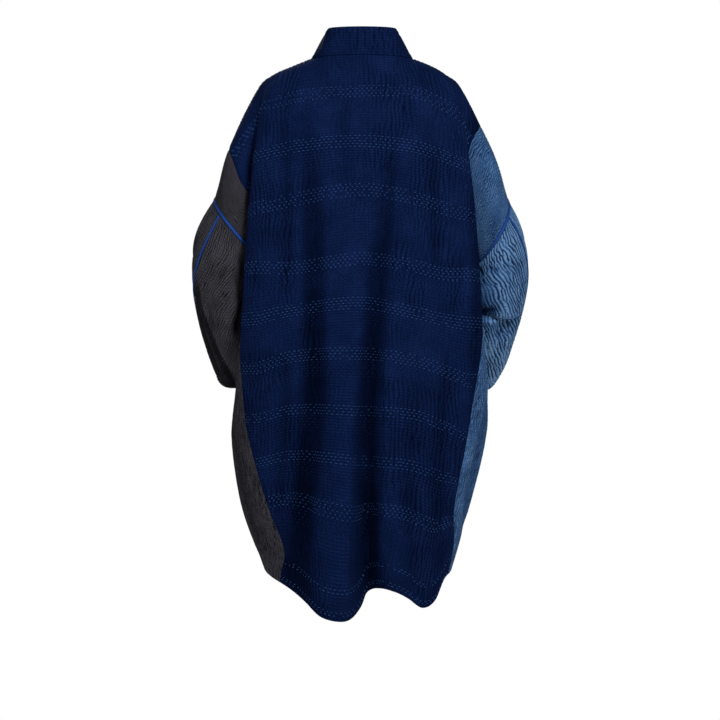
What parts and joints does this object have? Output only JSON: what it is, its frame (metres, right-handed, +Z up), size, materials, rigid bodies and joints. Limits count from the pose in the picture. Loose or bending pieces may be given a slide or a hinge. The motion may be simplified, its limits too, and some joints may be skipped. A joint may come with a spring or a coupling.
{
  "type": "haori",
  "caption": "Long open-front haori coat, cocoon shaped, with dropped two-piece sleeves bent forward, contrasting side strips and bias-bound seams.",
  "frame": {"origin": "middle of the neck opening, level with the tops of the shoulders", "axes": "+Z up, the front of the coat faces -Y, the wearer's left is +X"},
  "size_m": [0.584, 0.3059, 1.0274],
  "materials": {
    "navy": "matte quilted cotton with rows of running stitch",
    "charcoal": "matte crinkled quilted cotton",
    "denim": "matte crinkled quilted cotton",
    "royal": "plain cotton bias binding"
  },
  "bodies": {
    "root": {"back": "navy", "front_left": "navy", "front_right": "navy", "collar": "navy", "side_left_back": "charcoal", "side_left_front": "charcoal", "sleeve_left_back": "charcoal", "sleeve_left_front": "charcoal", "armhole_binding_left": "royal", "sleeve_binding_left": "royal", "side_right_back": "denim", "side_right_front": "denim", "sleeve_right_back": "denim", "sleeve_right_front": "denim", "armhole_binding_right": "royal", "sleeve_binding_right": "royal"}
  },
  "joints": []
}
